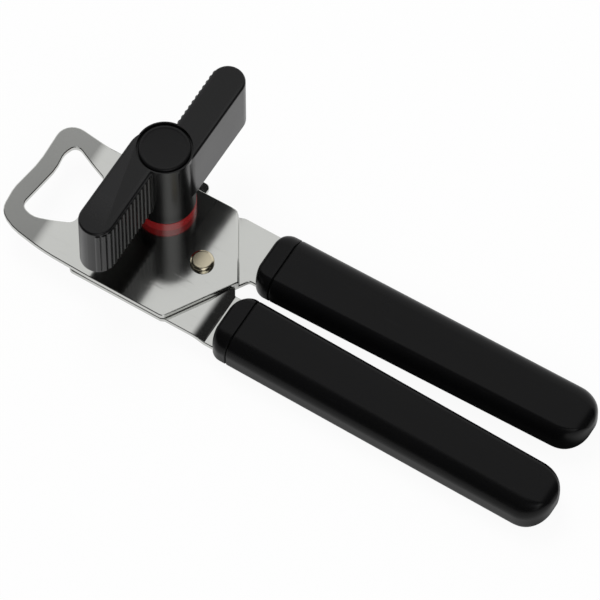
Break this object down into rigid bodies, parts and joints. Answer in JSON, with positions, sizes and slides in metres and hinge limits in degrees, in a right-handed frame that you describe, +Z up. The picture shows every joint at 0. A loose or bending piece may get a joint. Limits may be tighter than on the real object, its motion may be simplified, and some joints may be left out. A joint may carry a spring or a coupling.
{
  "type": "manual can opener",
  "caption": "Hand-turned can opener: pivoted steel head plates with a bottle opener tip, a large turning key, a geared cutter and plastic grips.",
  "frame": {"origin": "centre of the overall box at its base, the plane the grips and the cutter nut rest on", "axes": "+X from the bottle opener tip to the grips, +Y towards the far grip and the cutter, +Z up along the key's axis"},
  "size_m": [0.2122, 0.0786, 0.0493],
  "materials": {
    "polished_steel": "polished stainless sheet, faint rolling grain",
    "tool_steel": "turned and ground steel",
    "nickel": "warm nickel plate",
    "bushing_brass": "turned brass",
    "key_plastic": "black moulded plastic, satin",
    "cap_plastic": "black moulded plastic, satin",
    "grip_plastic": "black moulded plastic, satin",
    "red_plastic": "red moulded plastic"
  },
  "bodies": {
    "frame": {"upper_plate": "polished_steel", "pivot_rivet": "nickel", "pivot_washer": "nickel", "shaft_bushing": "bushing_brass", "far_grip": "grip_plastic", "far_collar": "grip_plastic"},
    "lever": {"lower_plate": "polished_steel", "near_grip": "grip_plastic", "near_collar": "grip_plastic", "cutter_stud": "tool_steel", "cutter_nut": "nickel"},
    "key": {"key_body": "key_plastic", "key_cap": "cap_plastic", "key_ring": "red_plastic", "key_shaft": "tool_steel", "spring_washer": "tool_steel", "feed_gear": "tool_steel", "feed_wheel": "tool_steel", "feed_nut": "nickel"},
    "cutter": {"cutter_gear": "tool_steel", "cutter_spacer": "nickel", "cutter_wheel": "tool_steel"}
  },
  "joints": [
    {"name": "lever_hinge", "type": "hinge", "parent": "frame", "child": "lever", "pos_m": [-0.03875, -0.01155, 0.011], "axis": [0, 0, -1], "range_deg": [0, 30]},
    {"name": "key_turn", "type": "hinge", "parent": "frame", "child": "key", "pos_m": [-0.06055, 0.00095, 0.011], "axis": [0, 0, 1], "continuous": true},
    {"name": "cutter_turn", "type": "hinge", "parent": "lever", "child": "cutter", "pos_m": [-0.06839, 0.0135, 0.0055], "axis": [0, 0, 1], "continuous": true}
  ],
  "couplings": [
    {"joint": "cutter_turn", "follows": "key_turn", "ratio": -1}
  ]
}
